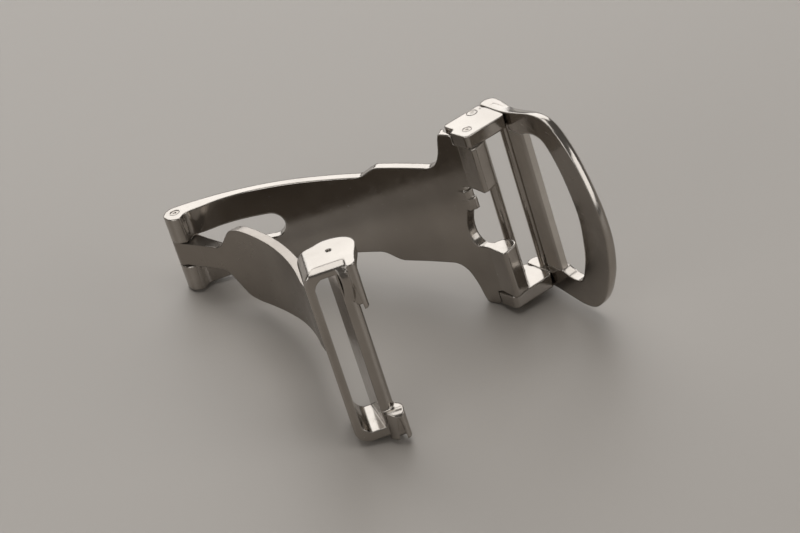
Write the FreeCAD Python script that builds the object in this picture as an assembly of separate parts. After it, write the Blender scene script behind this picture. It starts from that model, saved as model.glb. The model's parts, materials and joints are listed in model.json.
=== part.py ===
import FreeCAD, Part
import math
import os

# Folding clasp for a watch strap, standing on its long edge.
# Lengths are in millimetres. The plan is drawn with the fold hinge at the origin,
# every hinge axis along Z, the buckle frame in a plane of constant X, and the
# middle of the clasp's width at Z = 0. The last step leans the whole clasp so
# that it rests on the table.

V = FreeCAD.Vector
os.makedirs("parts", exist_ok=True)

# Widths of the clasp across the wrist
full_half = 10.0
lower_drop = 0.35
cheek_thick = 1.4
lug_half = full_half - cheek_thick - 0.03
ear_half = 9.85
mid_half = 5.6
fork_half = 4.35
fork_root_half = 4.5
edge_drop = 0.008
neck_half = 1.42
notch_half = 3.6
lug_bore_end = 4.3

# Main blade
blade_thick = 1.0
bend_heading = -25.0
bend_radius_a = 30.0
bend_length_a = 15.0
bend_radius_b = 57.0
shoulder_s = 33.75
barrel_r = 1.25
pin_r = 0.5
prong_root_s = 9.5
run_clear = 0.03

# Fold hinge slot between the prongs
slot_end_s = 10.9
slot_half = 1.46
slot_round = 1.42
slot_drop = 0.16

# Link between the main blade and the buckle frame
link_pin = V(21.09, -27.02, 0)
link_pin_r = 0.45
rod = V(23.53, -24.62, 0)
rod_r = 0.55
cheek_left = 19.88
cheek_right = 24.98
cheek_front = -28.35
cheek_back = -23.97

# Buckle frame
frame_axis = V(25.78, -24.62, 0)
frame_front = -0.72
frame_back = 0.5
frame_knuckle_r = 0.93
frame_pin_r = 0.35
frame_pin_low = 8.75
frame_pin_high = 9.8
rim_depth = 0.9
rim_draw_arm = 0.12
rim_draw_tip = 0.9
rim_draw_low = 0.35
roller_axis = V(25.78, -26.27, 0)
roller_r = 0.6
roller_half = 9.3
tongue_low = 9.05
tongue_high = 9.55
tongue_r = 0.72

# Short blade
short_thick = 1.0
neck_heading = -62.0
short_start = V(-0.10, -3.42, 0)
short_heading = -71.5
short_radius_a = 33.0
short_turn_a = 22.0
short_radius_b = 25.0
short_turn_b = 23.0
short_straight = 4.9
paddle_half = 4.3

# Strap box
box_turn = 0.5
box_depth = 5.2
box_left = 0.4
box_right = 4.9
box_top = full_half
box_bottom = -9.65
box_wall = 1.25
box_end_wall = 1.05
box_slot_back = 2.8
box_slot_front = 3.55
box_round = 0.25
box_corner = 1.5
bar_round = 0.9
tool_hole_r = 0.28
tool_hole_deep = 0.3

# Lean of the standing clasp, turning the rest plane level
lean_axis_heading = -151.279
lean_degrees = 10.879


def heading_vector(degrees):
    return V(math.cos(math.radians(degrees)), math.sin(math.radians(degrees)), 0)


def left_normal(degrees):
    return heading_vector(degrees + 90.0)


def arc_end(start, heading, radius, turn):
    centre = start - left_normal(heading) * radius
    return centre + left_normal(heading - turn) * radius


def arc_edge(start, heading, radius, turn, offset):
    centre = start - left_normal(heading) * radius
    r = radius + offset
    points = [centre + left_normal(heading - turn * k) * r for k in (0.0, 0.5, 1.0)]
    return Part.Arc(*points).toShape()


def line(a, b):
    return Part.LineSegment(a, b).toShape()


def prism(edges, low, high):
    wire = Part.Wire(Part.__sortEdges__(edges))
    face = Part.Face(wire)
    face.translate(V(0, 0, low))
    return face.extrude(V(0, 0, high - low))


def plate(points, low, high):
    wire = Part.makePolygon([V(p[0], p[1], low) for p in points] + [V(points[0][0], points[0][1], low)])
    return Part.Face(wire).extrude(V(0, 0, high - low))


def rod_between(centre, radius, low, high):
    return Part.makeCylinder(radius, high - low, V(centre.x, centre.y, low), V(0, 0, 1))


def lowered(shape):
    # The link and the lugs reach a little further on the lower side
    copy = shape.mirror(V(0, 0, 0), V(0, 0, 1))
    copy.translate(V(0, 0, -lower_drop))
    return copy


def pit(centre, radius, z, deep):
    # Small round-bottomed punch mark in an upper face
    return Part.makeSphere((radius ** 2 + deep ** 2) / (2 * deep),
                           V(centre.x, centre.y, z - deep + (radius ** 2 + deep ** 2) / (2 * deep)))


# A path of two points is a straight edge, a longer one a smooth curve
def path_edge(points):
    if len(points) == 2:
        return line(points[0], points[1])
    spline = Part.BSplineCurve()
    spline.interpolate(points)
    return spline.toShape()


def face_of(paths):
    return Part.Face(Part.Wire([path_edge(path) for path in paths]))


def plan_prism(paths, low, high):
    raised = [[V(x, y, low) for x, y in path] for path in paths]
    return face_of(raised).extrude(V(0, 0, high - low))


# Centre line of the main blade
blade_start = left_normal(bend_heading) * (barrel_r - blade_thick / 2)
turn_a = math.degrees(bend_length_a / bend_radius_a)


def blade_at(s):
    if s <= bend_length_a:
        turn = math.degrees(s / bend_radius_a)
        return arc_end(blade_start, bend_heading, bend_radius_a, turn), bend_heading - turn
    middle = arc_end(blade_start, bend_heading, bend_radius_a, turn_a)
    turn = math.degrees((s - bend_length_a) / bend_radius_b)
    return arc_end(middle, bend_heading - turn_a, bend_radius_b, turn), bend_heading - turn_a - turn


def blade_side(s, depth):
    # Point at a given depth below the outer, convex face
    centre, heading = blade_at(s)
    p = centre + left_normal(heading) * (blade_thick / 2 - depth)
    return (p.x, p.y)


def blade_profile(s_end):
    # Side view of the blade, thickening into the prongs toward the fold hinge
    half = blade_thick / 2
    middle, middle_heading = blade_at(bend_length_a)
    root, root_heading = blade_at(prong_root_s)
    end, end_heading = blade_at(s_end)
    root_turn = math.degrees((bend_length_a - prong_root_s) / bend_radius_a)
    turn_b = math.degrees((s_end - bend_length_a) / bend_radius_b)
    across_end = left_normal(end_heading) * half

    inner = [blade_side(prong_root_s, blade_thick)]
    inner += [blade_side(s, d) for s, d in ((7.8, 1.03), (6.0, 1.14), (4.2, 1.4), (2.5, 1.78), (0.9, 2.25))]
    inner = [V(x, y, 0) for x, y in inner + [(-0.5, -1.6), (-1.0, -1.22)]]
    outer = [blade_start + left_normal(bend_heading) * half, V(0.0, 1.2, 0), V(-0.5, 1.05, 0)]
    outer.append(V(-0.92, 0.72, 0))
    inner_curve = Part.BSplineCurve()
    inner_curve.interpolate(Points=inner, InitialTangent=heading_vector(root_heading) * -1.0,
                            FinalTangent=V(-0.8, 0.6, 0))
    outer_curve = Part.BSplineCurve()
    outer_curve.interpolate(Points=outer, InitialTangent=heading_vector(bend_heading) * -1.0,
                            FinalTangent=V(-0.6, -0.8, 0))
    return [
        arc_edge(blade_start, bend_heading, bend_radius_a, turn_a, half),
        arc_edge(middle, middle_heading, bend_radius_b, turn_b, half),
        line(end + across_end, end - across_end),
        arc_edge(middle, middle_heading, bend_radius_b, turn_b, -half),
        arc_edge(root, root_heading, bend_radius_a, root_turn, -half),
        inner_curve.toShape(),
        path_edge([inner[-1], V(-1.2, -0.9, 0), V(-1.26, -0.1, 0), V(-1.18, 0.4, 0), outer[-1]]),
        outer_curve.toShape(),
    ]


# Outline tool: a closed outline drawn along the chord of a blade and across its
# width, pushed through the blade square to the chord
def chord_tool(paths, chord_heading, depth=14.0):
    along = heading_vector(chord_heading)
    across = left_normal(chord_heading)
    placed_paths = [[along * c + V(0, 0, z) - across * depth for c, z in path] for path in paths]
    return face_of(placed_paths).extrude(across * (2 * depth))


def smooth_step(c0, z0, c1, z1, count=6):
    result = []
    for k in range(count + 1):
        f = k / count
        e = 0.5 - 0.5 * math.cos(math.pi * f)
        result.append((c0 + (c1 - c0) * f, z0 + (z1 - z0) * e))
    return result


def closed_outline(upper, lower, tip_c):
    # Both edges run toward the tip and are joined square at either end
    back = [path[::-1] for path in reversed(lower)]
    end, start = upper[-1][-1], back[0][0]
    closing = [[end, (tip_c, end[1])], [(tip_c, end[1]), (tip_c, start[1])], [(tip_c, start[1]), start]]
    return upper + closing + back + [[back[-1][-1], upper[0][0]]]


def main_blade():
    body = prism(blade_profile(34.6), -full_half - 1, full_half + 1)
    chord_heading = -52.5
    along = heading_vector(chord_heading)

    def c_of(s):
        return blade_at(s)[0].dot(along)

    fork_step = smooth_step(c_of(20.6), fork_root_half, c_of(23.4), mid_half)
    lug_curve = [(c_of(28.9), mid_half + 0.05), (c_of(29.9), mid_half + 0.2), (c_of(30.6), mid_half + 0.65),
                 (c_of(31.15), mid_half + 1.45), (c_of(31.5), mid_half + 2.3), (c_of(31.75), mid_half + 3.25),
                 (c_of(31.95), ear_half - 0.35)]
    ear_corner = [lug_curve[-1], (c_of(32.08), ear_half - 0.1), (c_of(32.35), ear_half)]
    ear_tip = [(c_of(shoulder_s - 0.35), ear_half), (c_of(shoulder_s - 0.1), ear_half - 0.1),
               (c_of(shoulder_s), ear_half - 0.35)]
    upper = [
        [(-2.0, fork_half), fork_step[0]],
        fork_step,
        [fork_step[-1], lug_curve[0]],
        lug_curve,
        ear_corner,
        [ear_corner[-1], ear_tip[0]],
        ear_tip,
        [ear_tip[-1], (c_of(shoulder_s), lug_half)],
    ]
    # The edges run slightly off square, as the blade hangs in its pins, and the
    # lower ear and lug reach further down
    upper_hung = [[(c, z - edge_drop * max(c, 0.0)) for c, z in path] for path in upper[:-1]]
    upper_hung.append([upper_hung[-1][-1], upper[-1][-1]])
    lower_hung = []
    for path in upper[:-1]:
        reach = [min(max((z - mid_half) / (lug_half - mid_half), 0.0), 1.0) for c, z in path]
        lower_hung.append([(c, -z - edge_drop * max(c, 0.0) - lower_drop * f)
                           for (c, z), f in zip(path, reach)])
    lower_hung.append([lower_hung[-1][-1], (upper[-1][-1][0], -lug_half - lower_drop)])
    body = body.common(chord_tool(closed_outline(upper_hung, lower_hung, 60.0), chord_heading))

    # The ears are thinned on their far side, beside the cheeks
    beside = plate([(20.27, -23.85), (20.02, -24.2), (20.14, -25.7), (22.5, -25.7), (22.5, -23.85)],
                   lug_half, full_half + 1)
    body = body.cut([beside, lowered(beside)])

    # Lug barrels that carry the link pins
    front_corner = (19.95, -28.66)
    barrel_curve = [(21.75, -28.36), (22.17, -27.85), (22.26, -27.2), (22.06, -26.55), (21.55, -26.08),
                    (20.95, -25.9)]
    lugs = plan_prism([
        [blade_side(32.2, 0.5), blade_side(34.1, 0.7)],
        [blade_side(34.1, 0.7), blade_side(34.4, blade_thick)],
        [blade_side(34.4, blade_thick), front_corner],
        [front_corner, (20.4, -28.76)],
        [(20.4, -28.76), barrel_curve[0]],
        barrel_curve,
        [barrel_curve[-1], (20.55, -25.74), (20.36, -25.36)],
        [(20.36, -25.36), blade_side(32.2, 0.0)],
        [blade_side(32.2, 0.0), blade_side(32.2, 0.5)],
    ], -lug_half - lower_drop, lug_half)
    body = body.fuse(lugs)

    # Notch between the lugs, with its bowed and slanting blind end
    mouth, mouth_heading = blade_at(33.5)
    bow = [(-0.02, -notch_half), (-0.41, -3.46), (-0.75, -3.08), (-1.03, -2.45), (-1.09, -1.85),
           (-1.05, -1.2),
           (-0.72, 0.0), (-0.42, 0.85), (-0.02, 2.2)]
    slant = 0.28
    reach = 6.0

    def notch_point(x, z):
        return V(x - slant * (reach - 0.5), -reach, z)

    bow_points = [notch_point(x, z) for x, z in bow]
    notch_wire = Part.Wire([
        path_edge(bow_points),
        line(bow_points[-1], notch_point(-0.02, notch_half)),
        line(notch_point(-0.02, notch_half), notch_point(10.0, notch_half)),
        line(notch_point(10.0, notch_half), notch_point(10.0, -notch_half)),
        line(notch_point(10.0, -notch_half), bow_points[0]),
    ])
    notch = Part.Face(notch_wire).extrude(V(2 * reach * slant, 2 * reach, 0))
    notch.rotate(V(0, 0, 0), V(0, 0, 1), mouth_heading)
    notch.translate(mouth)
    body = body.cut(notch)

    # Small stepped catch left standing at one corner of the notch
    catch = plate([(-0.9, -0.5), (0.0, -0.62), (0.3, -0.3), (0.45, 0.25), (0.2, 0.5), (-0.9, 0.5)], 1.9, 3.0)
    hook = plate([(-0.9, -0.45), (0.1, -0.55), (0.55, -0.1), (0.65, 0.35), (0.2, 0.6), (-0.9, 0.5)],
                 0.75, 2.05)
    hook = hook.cut(plate([(-0.1, -0.9), (0.25, -0.3), (1.2, -0.3), (1.2, -0.9)], 0.7, 1.2))
    catch = catch.fuse(hook)
    catch.rotate(V(0, 0, 0), V(0, 0, 1), mouth_heading)
    catch.translate(mouth)
    body = body.fuse(catch)

    # Slot for the short blade's barrel and neck
    slot_heading = -32.0
    slot_mid = blade_at(slot_end_s)[0].dot(heading_vector(slot_heading))
    turn_c = slot_mid - slot_round
    along = heading_vector(slot_heading)
    across = left_normal(slot_heading)

    def slot_point(c, z):
        return along * c + V(0, 0, z) - across * 14.0

    top = slot_point(turn_c, slot_round - slot_drop)
    bottom = slot_point(turn_c, -slot_round - slot_drop)
    slot_wire = Part.Wire([
        line(slot_point(-3.0, -slot_half), slot_point(-3.0, slot_half)),
        line(slot_point(-3.0, slot_half), slot_point(1.2, slot_half)),
        line(slot_point(1.2, slot_half), top),
        Part.Arc(top, slot_point(slot_mid, -slot_drop), bottom).toShape(),
        line(bottom, slot_point(1.2, -slot_half)),
        line(slot_point(1.2, -slot_half), slot_point(-3.0, -slot_half)),
    ])
    body = body.cut(Part.Face(slot_wire).extrude(across * 28.0))

    # Bores
    body = body.cut(rod_between(V(0, 0, 0), pin_r, -fork_half - 1, fork_half + 1))
    lug_bore = rod_between(link_pin, link_pin_r + run_clear, lug_bore_end, full_half)
    return body.cut([lug_bore, lowered(lug_bore)])


def short_blade():
    mid = arc_end(short_start, short_heading, short_radius_a, short_turn_a)
    mid_heading = short_heading - short_turn_a
    end = arc_end(mid, mid_heading, short_radius_b, short_turn_b)
    end_heading = mid_heading - short_turn_b
    tip = end + heading_vector(end_heading) * short_straight
    t = short_thick
    n0 = left_normal(short_heading)
    n1 = left_normal(end_heading)
    edges = [
        arc_edge(short_start, short_heading, short_radius_a, short_turn_a, 0.0),
        arc_edge(mid, mid_heading, short_radius_b, short_turn_b, 0.0),
        line(end, tip),
        line(tip, tip + n1 * t),
        line(tip + n1 * t, end + n1 * t),
        arc_edge(mid, mid_heading, short_radius_b, short_turn_b, t),
        arc_edge(short_start, short_heading, short_radius_a, short_turn_a, t),
        line(short_start + n0 * t, short_start),
    ]
    body = prism(edges, -full_half, full_half)
    chord_heading = -97.0
    along = heading_vector(chord_heading)

    def c_of(turn):
        if turn <= short_turn_a:
            return arc_end(short_start, short_heading, short_radius_a, turn).dot(along)
        return arc_end(mid, mid_heading, short_radius_b, turn - short_turn_a).dot(along)

    neck_step = smooth_step(c_of(4.0), neck_half - 0.1, c_of(10.6), paddle_half - 0.2)
    paddle = [neck_step[-1], (c_of(12.2), paddle_half - 0.03), (c_of(14.0), paddle_half),
              (c_of(17.5), paddle_half - 0.03), (c_of(22.0), 4.2), (c_of(28.0), 4.05), (c_of(36.0), 3.9),
              (c_of(45.0), 3.8)]
    upper = [[(-2.0, neck_half - 0.1), neck_step[0]], neck_step, paddle]
    lower = [[(c, -z) for c, z in path] for path in upper]
    body = body.common(chord_tool(closed_outline(upper, lower, 60.0), chord_heading))

    # Neck and barrel on the fold pin
    neck_end = arc_end(short_start, short_heading, short_radius_a, 5.0)
    barrel_side = left_normal(neck_heading) * (barrel_r - 0.02)
    neck_points = [barrel_side, short_start + n0 * (t + 0.5),
                   neck_end + left_normal(short_heading - 5.0) * (t + 0.02),
                   neck_end + left_normal(short_heading - 5.0) * 0.1,
                   short_start + n0 * 0.02, barrel_side * -1.0]
    neck = plate([(p.x, p.y) for p in neck_points], -neck_half + 0.1, neck_half - 0.1)
    barrel = rod_between(V(0, 0, 0), barrel_r - 0.02, -neck_half, neck_half)
    body = body.fuse([neck, barrel])
    body = body.cut(rod_between(V(0, 0, 0), pin_r + run_clear, -full_half, full_half))

    # The outer face runs in flush with the box wall
    run_in = [tip + heading_vector(end_heading) * a + n1 * h
              for a, h in ((-6.9, -0.09), (-5.8, 0.0), (-4.9, 0.14), (-3.9, 0.32), (-2.9, box_left),
                           (1.0, box_left), (1.0, -3.0), (-6.9, -3.0))]
    run_in = [(p.x, p.y) for p in run_in]
    body = body.cut(plan_prism([run_in[:5], run_in[4:6], run_in[5:7], run_in[6:8], [run_in[7], run_in[0]]],
                               -full_half, full_half))
    return body, tip, end_heading


def strap_box(corner, heading):
    # Box coordinates: first along the strap, then across the thickness
    turned = heading + box_turn
    along = heading_vector(turned)
    across = left_normal(turned)

    def at(a, t):
        p = corner + along * a + across * t
        return (p.x, p.y)

    def ring(a, left, right, top, bottom, radius_left, radius_right):
        def spot(t, z):
            return corner + along * a + across * t + V(0, 0, z)

        edges = []
        corners = [(left, top, 1, -1, radius_left), (right, top, -1, -1, radius_right),
                   (right, bottom, -1, 1, radius_right), (left, bottom, 1, 1, radius_left)]
        ends = []
        for k, (t, z, st, sz, r) in enumerate(corners):
            knee = 1.0 - math.sqrt(0.5)
            on_side = spot(t, z + sz * r)
            on_end = spot(t + st * r, z)
            first, last = (on_side, on_end) if k % 2 == 0 else (on_end, on_side)
            ends.append((first, last))
            edges.append(Part.Arc(first, spot(t + st * r * knee, z + sz * r * knee), last).toShape())
        edges += [line(ends[k][1], ends[(k + 1) % 4][0]) for k in range(4)]
        return Part.Wire(Part.__sortEdges__(edges))

    def shell(a, inset):
        return ring(a, box_left + inset, box_right - inset, box_top - inset, box_bottom + inset,
                    box_corner - inset, 0.9 - inset)

    body = Part.Face(shell(0.35, 0.0)).extrude(along * (box_depth - box_round - 0.35))
    body = body.fuse(Part.makeLoft([shell(0.0, 0.2), shell(0.35, 0.0)], True, True))
    steps = [(0.0, 0.0), (0.5, 0.134), (0.866, 0.5), (1.0, 1.0)]
    for (a0, i0), (a1, i1) in zip(steps, steps[1:]):
        first = shell(box_depth - box_round * (1 - a0), i0 * box_round * 0.9)
        last = shell(box_depth - box_round * (1 - a1), i1 * box_round * 0.9)
        body = body.fuse(Part.makeLoft([first, last], True, True))

    # The bar is well rounded on its outer edge
    knee = bar_round * (1.0 - math.sqrt(0.5))
    rounding = [at(box_depth - bar_round, box_right), at(box_depth - knee, box_right - knee),
                at(box_depth, box_right - bar_round)]
    raised = [V(x, y, box_bottom - 1) for x, y in rounding]
    corner_out = V(*at(box_depth + 0.5, box_right + 0.5), box_bottom - 1)
    side_out = V(*at(box_depth - bar_round, box_right + 0.5), box_bottom - 1)
    front_out = V(*at(box_depth + 0.5, box_right - bar_round), box_bottom - 1)
    round_wire = Part.Wire([Part.Arc(*raised).toShape(), line(raised[2], front_out),
                            line(front_out, corner_out), line(corner_out, side_out),
                            line(side_out, raised[0])])
    body = body.cut(Part.Face(round_wire).extrude(V(0, 0, box_top - box_bottom + 2)))

    # The top wall widens into a brow over the upper claw
    brow = plan_prism([
        [at(0.36, 1.9), at(0.1, 2.4), at(-0.2, 3.0), at(-0.3, 3.6), at(-0.24, 4.3), at(0.2, 5.4),
         at(1.0, 6.1), at(2.5, 6.2), at(4.3, 5.82)],
        [at(4.3, 5.82), at(5.6, 5.65)],
        [at(5.6, 5.65), at(5.6, 4.6)],
        [at(5.6, 4.6), at(4.6, 4.2)],
        [at(4.6, 4.2), at(4.6, 1.9)],
        [at(4.6, 1.9), at(0.36, 1.9)],
    ], box_top - box_end_wall, box_top)

    # Two claws beyond the mouth hook over the ends of the lugs
    claw_paths = [
        [at(3.3, 3.6), at(3.3, 4.88)],
        [at(3.3, 4.88), at(4.1, 5.0), at(4.5, 5.35)],
        [at(4.5, 5.35), at(4.95, 5.62), at(5.45, 5.7), at(5.9, 5.55), at(6.15, 5.15)],
        [at(6.15, 5.15), at(6.15, 4.85)],
        [at(6.15, 4.85), at(5.85, 4.25), at(5.1, 3.6)],
        [at(5.1, 3.6), at(3.3, 3.6)],
    ]

    def across_prism(paths, t0, t1):
        # Prism across the thickness, its paths given along the strap and up
        placed_paths = [[corner + along * a + across * t0 + V(0, 0, z) for a, z in path] for path in paths]
        return face_of(placed_paths).extrude(across * (t1 - t0))

    def along_prism(points, a0, a1):
        corners = [corner + along * a0 + across * t + V(0, 0, z) for t, z in points]
        return Part.Face(Part.makePolygon(corners + [corners[0]])).extrude(along * (a1 - a0))

    upper_claw = plan_prism(claw_paths, 5.0, box_top)
    # Its inner half runs down into the bar, and a widening groove leaves a finger
    upper_claw = upper_claw.cut(across_prism([
        [(4.8, 10.0), (5.25, 9.4), (5.55, 8.5), (5.55, 7.4), (5.25, 6.2), (4.9, 5.2)],
        [(4.9, 5.2), (4.9, 4.0)],
        [(4.9, 4.0), (7.0, 4.0)],
        [(7.0, 4.0), (7.0, 10.2)],
        [(7.0, 10.2), (4.8, 10.2)],
        [(4.8, 10.2), (4.8, 10.0)],
    ], 3.0, 4.75))
    upper_claw = upper_claw.cut(along_prism([(4.4, 4.9), (5.2, 4.9), (5.1, 6.4), (4.92, 8.0), (4.86, 8.0),
                                             (4.7, 6.4)], 5.0, 7.0))
    lower_claw = plan_prism(claw_paths, -full_half, -6.8)
    lower_claw = lower_claw.cut(along_prism([(4.4, -10.1), (5.2, -10.1), (5.14, -8.6), (4.96, -7.45),
                                             (4.84, -7.45), (4.6, -8.6)], 5.2, 7.0))
    lower_claw = lower_claw.cut(across_prism([
        [(4.3, -6.75), (5.0, -6.78), (5.6, -6.92), (6.0, -7.2), (6.3, -7.7)],
        [(6.3, -7.7), (6.3, -6.6)],
        [(6.3, -6.6), (4.3, -6.6)],
        [(4.3, -6.6), (4.3, -6.75)],
    ], 3.0, 6.0))
    body = body.fuse([brow, upper_claw, lower_claw])
    # The top wall rolls over at the mouth
    body = body.cut(across_prism([
        [(4.2, 10.0), (4.8, 9.87), (5.15, 9.6), (5.35, 9.1)],
        [(5.35, 9.1), (7.0, 9.1)],
        [(7.0, 9.1), (7.0, 10.2)],
        [(7.0, 10.2), (4.2, 10.2)],
        [(4.2, 10.2), (4.2, 10.0)],
    ], 0.0, 4.75))

    # Tunnel for the strap end, its bar side slanting open toward the mouth
    tunnel_top = box_top - box_end_wall
    tunnel_bottom = box_bottom + box_end_wall
    tunnel = ring(-1.0, box_wall, box_slot_back, tunnel_top, tunnel_bottom, 1.2, 0.3)
    body = body.cut(Part.Face(tunnel).extrude(along * (box_depth + 3.0)))
    slant = plate([at(0.0, 2.0), at(0.0, box_slot_back), at(box_depth + 2.0, box_slot_front + 0.29),
                   at(box_depth + 2.0, 2.0)], tunnel_bottom, tunnel_top)
    body = body.cut(slant)

    # Blind tool hole in the top wall
    hole = corner + along * 1.95 + across * 3.65
    return body.cut(rod_between(hole, tool_hole_r, box_top - tool_hole_deep, box_top + 1.0))


def cheek():
    outline = [
        (cheek_left, cheek_front + 0.35), (cheek_left + 0.3, cheek_front), (cheek_right - 0.3, cheek_front),
        (cheek_right, cheek_front + 0.3), (cheek_right, cheek_back - 0.3), (cheek_right - 0.25, cheek_back),
        (20.55, cheek_back), (20.3, -24.2), (20.3, -24.85), (20.36, -25.6), (19.72, -26.0),
    ]
    body = plate(outline, full_half - cheek_thick, full_half)
    body = body.cut(rod_between(frame_axis, frame_knuckle_r + run_clear, 0, full_half + 1))
    tongue = rod_between(frame_axis, tongue_r, tongue_low, tongue_high)
    bridge = plate([
        (cheek_right - 0.8, frame_axis.y + tongue_r), (frame_axis.x, frame_axis.y + tongue_r),
        (frame_axis.x, frame_axis.y - tongue_r), (cheek_right - 0.8, frame_axis.y - tongue_r),
    ], tongue_low, tongue_high)
    body = body.fuse([tongue, bridge])
    body = body.cut(rod_between(link_pin, link_pin_r, 0, full_half + 1))
    body = body.cut(rod_between(rod, rod_r, 0, full_half + 1))
    body = body.cut(rod_between(frame_axis, frame_pin_r + run_clear, 0, full_half + 1))
    return body.cut(pit(rod + V(1.0, -0.1, 0), 0.12, full_half, 0.06))


def frame_face(points, w):
    corners = [V(frame_axis.x + w, frame_axis.y - u, z) for u, z in points]
    return Part.Face(Part.makePolygon(corners + [corners[0]]))


def frame_points(points, w):
    return [V(frame_axis.x + w, frame_axis.y - u, z) for u, z in points]


def frame_wire(points, w):
    loop = frame_points(points, w)
    return Part.Wire([path_edge(loop), line(loop[-1], loop[0])])


def rim_round(u, z):
    # How far the back of the rim draws in: most at the tip, least at the arms
    root = rim_draw_arm if z > 0 else 2.5 * rim_draw_arm
    tip = rim_draw_tip if z > 0 else rim_draw_tip + (rim_draw_low - rim_draw_tip) * min(-z / 5.0, 1.0)
    return root + (tip - root) * min(max((u - 3.0) / 9.0, 0.0), 1.0)


def drawn_in(points, share):
    result = []
    for k, (u, z) in enumerate(points):
        u0, z0 = points[max(k - 1, 0)]
        u1, z1 = points[min(k + 1, len(points) - 1)]
        length = math.hypot(u1 - u0, z1 - z0)
        step = share * rim_round(u, z) / length
        result.append((u + (z1 - z0) * step, z - (u1 - u0) * step))
    return result


def buckle_frame():
    depth = frame_back - frame_front
    arm_low = -full_half - lower_drop
    outer = [(-0.1, full_half), (1.2, full_half), (2.4, full_half + 0.03), (4.3, 10.25), (6.5, 10.68),
             (8.5, 10.95),
             (9.9, 10.8), (11.1, 10.2), (12.2, 9.05), (13.2, 7.5), (14.1, 5.4), (14.8, 3.2), (15.25, 1.2),
             (15.4, -0.3), (15.36, -1.6), (15.0, -3.5), (14.3, -5.7), (13.35, -7.65), (12.35, -9.2),
             (11.2, -10.4),
             (10.0, -11.1), (8.6, -11.3), (6.5, -11.05), (4.3, -10.65), (2.4, arm_low - 0.05), (1.2, arm_low),
             (-0.1, arm_low)]
    shoulder = frame_back - rim_depth
    body = Part.Face(frame_wire(outer, frame_front)).extrude(V(shoulder - frame_front, 0, 0))
    # The back of the rim is rounded
    sections = []
    for degrees in (0.0, 22.5, 45.0, 67.5, 90.0):
        turn = math.radians(degrees)
        outline = drawn_in(outer, 1 - math.cos(turn))
        sections.append(frame_wire(outline, shoulder + rim_depth * math.sin(turn)))
    body = body.fuse(Part.makeLoft(sections, True, False))

    window = [(5.62, 8.05), (6.2, 8.3), (8.0, 8.5), (8.8, 8.25), (9.5, 7.5), (10.1, 6.4), (10.7, 4.9),
              (11.25, 2.7), (11.52, 1.2), (11.6, 0.0)]
    window = frame_wire(window + [(u, -z) for u, z in reversed(window[:-1])], frame_front - 1)
    body = body.cut(Part.Face(window).extrude(V(depth + 2, 0, 0)))
    z0 = full_half - cheek_thick
    gap = [(-2.0, z0), (3.3, z0), (3.3, -z0 - lower_drop), (-2.0, -z0 - lower_drop)]
    body = body.cut(frame_face(gap, frame_front - 1).extrude(V(depth + 2, 0, 0)))
    # The straight bar is a separate piece, let into the frame
    bar_room = [(3.2, 8.0), (5.62, 8.0), (5.62, -8.0), (3.2, -8.0)]
    body = body.cut(frame_face(bar_room, frame_front - 1).extrude(V(depth + 2, 0, 0)))

    # Round ends of the arms, with a thicker root behind
    end_cut = Part.makeBox(3.0, 1.0, 3 * full_half, V(frame_axis.x - 1.5, frame_axis.y, -1.5 * full_half))
    body = body.cut(end_cut)
    knuckle = rod_between(frame_axis, frame_knuckle_r, z0, full_half)
    keep = Part.makeBox(3.0, 3.0, cheek_thick, V(frame_axis.x + frame_front, frame_axis.y - 0.6, z0))
    root = [(frame_axis.x + w, frame_axis.y - u) for u, w in
            ((0.3, 0.88), (1.1, 0.82), (2.2, 0.6), (3.4, 0.49), (3.4, 0.2), (0.3, 0.2))]
    root = plan_prism([root[:4], root[3:5], root[4:6], [root[5], root[0]]], z0, full_half)
    roller_room = rod_between(roller_axis, roller_r, -roller_half - lower_drop, roller_half)
    body = body.cut(roller_room)
    knuckle = knuckle.common(keep).fuse(root).cut(roller_room)
    body = body.fuse([knuckle, lowered(knuckle)])
    room = rod_between(frame_axis, frame_knuckle_r + 0.12, tongue_low - 0.06, tongue_high + 0.06)
    body = body.cut([room, lowered(room)])
    bore = rod_between(frame_axis, frame_pin_r, frame_pin_low, frame_pin_high)
    return body.cut([bore, lowered(bore)])


def grip_bar():
    outline = [(3.3, 8.0), (5.62, 8.0), (5.62, -8.0), (3.3, -8.0)]
    body = frame_face(outline, frame_front).extrude(V(0.88, 0, 0))
    bevel = Part.makePolygon([
        V(frame_axis.x + frame_front, frame_axis.y - 5.3, -9.0),
        V(frame_axis.x + frame_front - 0.2, frame_axis.y - 5.7, -9.0),
        V(frame_axis.x + frame_front + 0.2, frame_axis.y - 5.7, -9.0),
        V(frame_axis.x + frame_front, frame_axis.y - 5.3, -9.0),
    ])
    return body.cut(Part.Face(bevel).extrude(V(0, 0, 18.0)))


def with_pits(pin, centre, radius):
    # Punch marks in both ends of a pin
    box = pin.BoundBox
    upper = pit(centre, radius, box.ZMax, 0.1)
    lower = pit(centre, radius, -box.ZMin, 0.1).mirror(V(0, 0, 0), V(0, 0, 1))
    return pin.cut([upper, lower])


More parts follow.
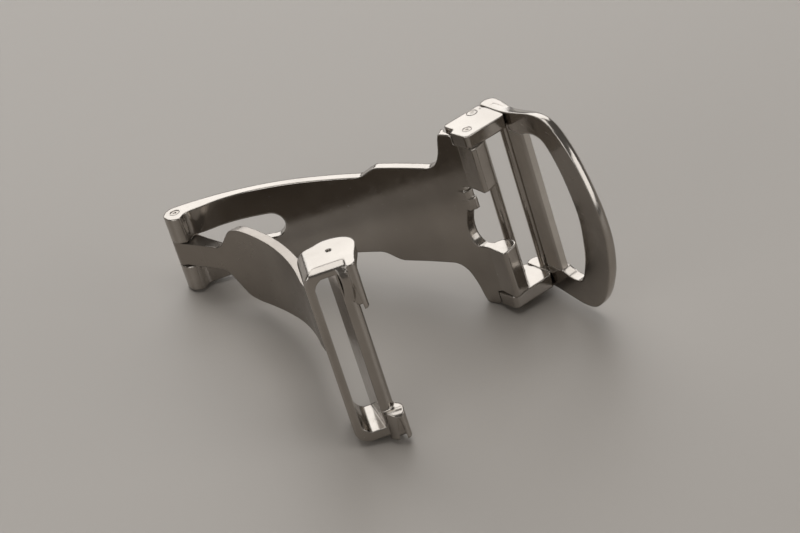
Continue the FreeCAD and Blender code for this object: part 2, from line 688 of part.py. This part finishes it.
def named_parts():
    short, tip, heading = short_blade()
    box = strap_box(tip, heading)
    short = short.cut(box)
    upper = cheek()
    fold_pin = rod_between(V(0, 0, 0), pin_r, -fork_half + 0.05, fork_half - 0.05)
    cross_rod = rod_between(rod, rod_r, -full_half - lower_drop, full_half)
    link_pin_piece = rod_between(link_pin, link_pin_r, lug_bore_end, full_half - 0.03)
    link_pin_piece = link_pin_piece.cut(pit(link_pin, 0.16, full_half - 0.03, 0.08))
    frame_pin = rod_between(frame_axis, frame_pin_r, frame_pin_low, frame_pin_high)
    parts = {
        "main_blade": main_blade(),
        "fold_pin": with_pits(fold_pin, V(0, 0, 0), 0.2),
        "short_blade": short,
        "strap_box": box,
        "upper_cheek": upper,
        "lower_cheek": lowered(upper),
        "cross_rod": with_pits(cross_rod, rod + V(0.1, 0.05, 0), 0.26),
        "upper_link_pin": link_pin_piece,
        "lower_link_pin": lowered(link_pin_piece),
        "buckle_frame": buckle_frame(),
        "grip_bar": grip_bar(),
        "roller_bar": rod_between(roller_axis, roller_r, -roller_half - lower_drop, roller_half),
        "upper_frame_pin": frame_pin,
        "lower_frame_pin": lowered(frame_pin),
    }
    return parts


def leaned(shape):
    result = shape.copy()
    result.rotate(V(0, 0, 0), heading_vector(lean_axis_heading), lean_degrees)
    return result


def middle_bottom(shapes):
    # Middle of the footprint at table height
    points = [p for shape in shapes for p in shape.tessellate(0.01)[0]]
    xs = [p.x for p in points]
    ys = [p.y for p in points]
    return V((min(xs) + max(xs)) / 2, (min(ys) + max(ys)) / 2, min(p.z for p in points))


placed = {name: leaned(shape.removeSplitter()) for name, shape in named_parts().items()}
origin = middle_bottom(placed.values())
for name, shape in placed.items():
    shape.translate(origin * -1.0)
    box = shape.BoundBox
    print(name, len(shape.Solids), round(shape.Volume, 2), shape.isValid(),
          [round(v, 2) for v in (box.XMin, box.XMax, box.YMin, box.YMax, box.ZMin, box.ZMax)])
    shape.exportStep("parts/" + name + ".step")

for name, axis in (("fold", V(0, 0, 0)), ("link", link_pin), ("buckle", frame_axis)):
    point = leaned(Part.Vertex(axis)).Point - origin
    print(name, "hinge at", [round(v, 3) for v in point])
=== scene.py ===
import bpy
import json
from mathutils import Matrix, Vector

# Folding steel clasp for a watch strap, half open and standing on its long edge.

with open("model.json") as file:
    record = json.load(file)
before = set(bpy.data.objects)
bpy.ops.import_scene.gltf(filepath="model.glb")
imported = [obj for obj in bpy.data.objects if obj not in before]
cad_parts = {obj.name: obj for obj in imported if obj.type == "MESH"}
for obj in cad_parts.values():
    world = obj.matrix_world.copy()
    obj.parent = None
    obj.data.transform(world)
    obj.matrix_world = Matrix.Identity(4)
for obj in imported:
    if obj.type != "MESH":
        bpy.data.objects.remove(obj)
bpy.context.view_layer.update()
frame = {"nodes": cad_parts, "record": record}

MM = 0.001

# Spot sizes of the marks that every steel surface shares, in millimetres
CLOUD_MM = 4.5
HAZE_MM = 1.1
SCRATCH_MM = 0.12
SWELL_MM = 6.0
# Scratches run one way, twenty times as long as wide, and are rougher than the steel
SCRATCH_TURN = (0.3, 0.5, 0.9)
SCRATCH_STRETCH = (1.0, 0.05, 1.0)
SCRATCH_ROUGHNESS = 0.12

# Point inside the clasp's outline, at which the lamps are aimed
LAMP_AIM = (0, 0, 10 * MM)
TABLE_METRES = 4.0


def linear(code):
    """An sRGB hex colour as linear RGBA."""
    rgb = [int(code[i:i + 2], 16) / 255 for i in (1, 3, 5)]
    return tuple(c / 12.92 if c <= 0.04045 else ((c + 0.055) / 1.055) ** 2.4 for c in rgb) + (1.0,)


def add(tree, kind, settings=None, links=None):
    """A node with its settings (attributes, or sockets by name or number) and its incoming links."""
    node = tree.nodes.new(kind)
    for name, value in (settings or {}).items():
        if isinstance(name, int) or name in node.inputs:
            node.inputs[name].default_value = value
        else:
            setattr(node, name, value)
    for name, source in (links or {}).items():
        tree.links.new(source, node.inputs[name])
    return node


def steel(name, pale, dark, roughness, grain_mm, grain_depth_mm, edge_mm, wave_mm=0.0):
    """Stainless steel: its tones, haze of handling, fine scratches, surface grain and soft edges."""
    material = bpy.data.materials.new(name)
    material.use_nodes = True
    tree = material.node_tree
    tree.nodes.clear()
    place = add(tree, "ShaderNodeTexCoord").outputs["Object"]
    along = add(tree, "ShaderNodeMapping", {"Rotation": SCRATCH_TURN, "Scale": SCRATCH_STRETCH},
                {"Vector": place})
    clouds = add(tree, "ShaderNodeTexNoise", {"Scale": 1 / (CLOUD_MM * MM), "Detail": 3.0},
                 {"Vector": place})
    haze = add(tree, "ShaderNodeTexNoise", {"Scale": 1 / (HAZE_MM * MM), "Detail": 6.0, "Roughness": 0.7},
               {"Vector": place})
    scratches = add(tree, "ShaderNodeTexNoise", {"Scale": 1 / (SCRATCH_MM * MM), "Detail": 2.0},
                    {"Vector": along.outputs["Vector"]})
    grain = add(tree, "ShaderNodeTexNoise", {"Scale": 1 / (grain_mm * MM), "Detail": 2.0},
                {"Vector": place})
    swell = add(tree, "ShaderNodeTexNoise", {"Scale": 1 / (SWELL_MM * MM), "Detail": 1.0},
                {"Vector": place})

    # Clouds mix the two tones, and haze and scratches set how rough each spot is
    tone = add(tree, "ShaderNodeMix", {"data_type": "RGBA", 6: linear(dark), 7: linear(pale)},
               {"Factor": clouds.outputs["Fac"]})
    lines = add(tree, "ShaderNodeMapRange",
                {"From Min": 0.62, "From Max": 0.75, "To Min": 0.0, "To Max": SCRATCH_ROUGHNESS},
                {"Value": scratches.outputs["Fac"]})
    marks = add(tree, "ShaderNodeMapRange",
                {"From Min": 0.35, "From Max": 0.7, "To Min": roughness[0], "To Max": roughness[1]},
                {"Value": haze.outputs["Fac"]})
    rough = add(tree, "ShaderNodeMath", {"operation": "ADD"},
                {0: marks.outputs["Result"], 1: lines.outputs["Result"]})

    # Edges are softened first, then the slow waves of buffing and the grain go on
    soft = add(tree, "ShaderNodeBevel", {"Radius": edge_mm * MM, "samples": 8})
    waved = add(tree, "ShaderNodeBump", {"Strength": 1.0, "Distance": wave_mm * MM},
                {"Height": swell.outputs["Fac"], "Normal": soft.outputs["Normal"]})
    bump = add(tree, "ShaderNodeBump", {"Strength": 1.0, "Distance": grain_depth_mm * MM},
               {"Height": grain.outputs["Fac"], "Normal": waved.outputs["Normal"]})
    surface = add(tree, "ShaderNodeBsdfPrincipled", {"Metallic": 1.0},
                  {"Base Color": tone.outputs[2], "Roughness": rough.outputs["Value"],
                   "Normal": bump.outputs["Normal"]})
    add(tree, "ShaderNodeOutputMaterial", {}, {"Surface": surface.outputs["BSDF"]})
    return material


# Polished stainless steel: buffed bright, slightly wavy, with haze and hairline scratches from handling
polished = steel("polished_stainless", "#B5AFA8", "#9A948D", roughness=(0.11, 0.21),
                 grain_mm=0.35, grain_depth_mm=0.0006, edge_mm=0.28, wave_mm=0.05)
# Dull buffed stainless steel of the short blade, softer in its reflections
buffed = steel("buffed_stainless", "#A19A92", "#8C857E", roughness=(0.27, 0.36),
               grain_mm=0.25, grain_depth_mm=0.001, edge_mm=0.16, wave_mm=0.03)
# Satin stainless steel: blasted to an even frost on the grip bar
satin = steel("blasted_stainless", "#CCC6BE", "#B0A9A1", roughness=(0.36, 0.5),
              grain_mm=0.16, grain_depth_mm=0.012, edge_mm=0.12)
# Turned pin steel: cut ends with fine tool marks
pins = steel("turned_pin_steel", "#ADA69E", "#938C85", roughness=(0.18, 0.28),
             grain_mm=0.12, grain_depth_mm=0.001, edge_mm=0.03)

finish_of = {"polished_steel": polished, "satin_steel": satin, "pin_steel": pins}
slots = {s["node"]: s["material_slot"] for s in frame["record"]["subparts"]}
for name, node in frame["nodes"].items():
    for k in range(len(node.material_slots)):
        node.material_slots[k].material = buffed if name == "short_blade" else finish_of[slots[name]]


# Plain pale table top in warm grey
def table_top():
    bpy.ops.mesh.primitive_plane_add(size=TABLE_METRES, location=(0, 0, 0))
    floor = bpy.context.object
    floor.name = "table_top"
    material = bpy.data.materials.new("plain_table")
    material.use_nodes = True
    tree = material.node_tree
    tree.nodes.clear()
    surface = add(tree, "ShaderNodeBsdfPrincipled", {"Base Color": linear("#AAA49D"), "Roughness": 0.5})
    add(tree, "ShaderNodeOutputMaterial", {}, {"Surface": surface.outputs["BSDF"]})
    floor.data.materials.append(material)


table_top()


def soft_box(name, place, size, power):
    """Rectangular lamp aimed at the clasp: place and size in metres, power in watts."""
    data = bpy.data.lights.new(name, "AREA")
    data.shape = "RECTANGLE"
    data.size, data.size_y = size
    data.energy = power
    lamp = bpy.data.objects.new(name, data)
    bpy.context.scene.collection.objects.link(lamp)
    lamp.location = place
    lamp.rotation_mode = "QUATERNION"
    lamp.rotation_quaternion = (Vector(LAMP_AIM) - Vector(place)).to_track_quat("-Z", "Y")


# A wide soft box behind the clasp lights its upper faces and throws the shadow toward
# the camera. One overhead lights the table, one in front on the right the rim and the
# grip bar, and a low one on the left the rounded fronts.
soft_box("back_soft_box", (0.28, 0.6, 0.32), (0.9, 0.5), 2.9)
soft_box("overhead_soft_box", (0.05, 0.15, 0.85), (0.6, 1.0), 3.6)
soft_box("front_soft_box", (0.38, -0.48, 0.22), (0.46, 0.3), 0.8)
soft_box("left_soft_box", (-0.5, -0.14, 0.18), (0.34, 0.28), 0.6)

# Weak even light of the studio's walls
world = bpy.data.worlds.new("studio")
bpy.context.scene.world = world
world.use_nodes = True
walls = world.node_tree.nodes["Background"]
walls.inputs["Color"].default_value = linear("#C9C5C0")
walls.inputs["Strength"].default_value = 0.24


# Camera at the photograph's viewing angle: long lens, 34 degrees below level and a
# little rolled. The place is in millimetres from the clasp's middle on the table.
def photo_camera():
    data = bpy.data.cameras.new("photo_camera")
    data.sensor_width = 36.0
    data.lens = 135.0
    data.clip_start = 0.01
    data.clip_end = 10.0
    camera = bpy.data.objects.new("photo_camera", data)
    bpy.context.scene.collection.objects.link(camera)
    place = Vector((-136.8787, -215.1299, 175.1665)) * MM
    right = Vector((0.793829, -0.599306, -0.103288))
    up = Vector((0.404123, 0.392933, 0.826008))
    ahead = Vector((0.454446, 0.69745, -0.554115))
    turn = Matrix((right, up, -ahead)).transposed()
    camera.matrix_world = Matrix.Translation(place) @ turn.to_4x4()
    bpy.context.scene.camera = camera


photo_camera()

bpy.context.scene.view_settings.view_transform = "Standard"
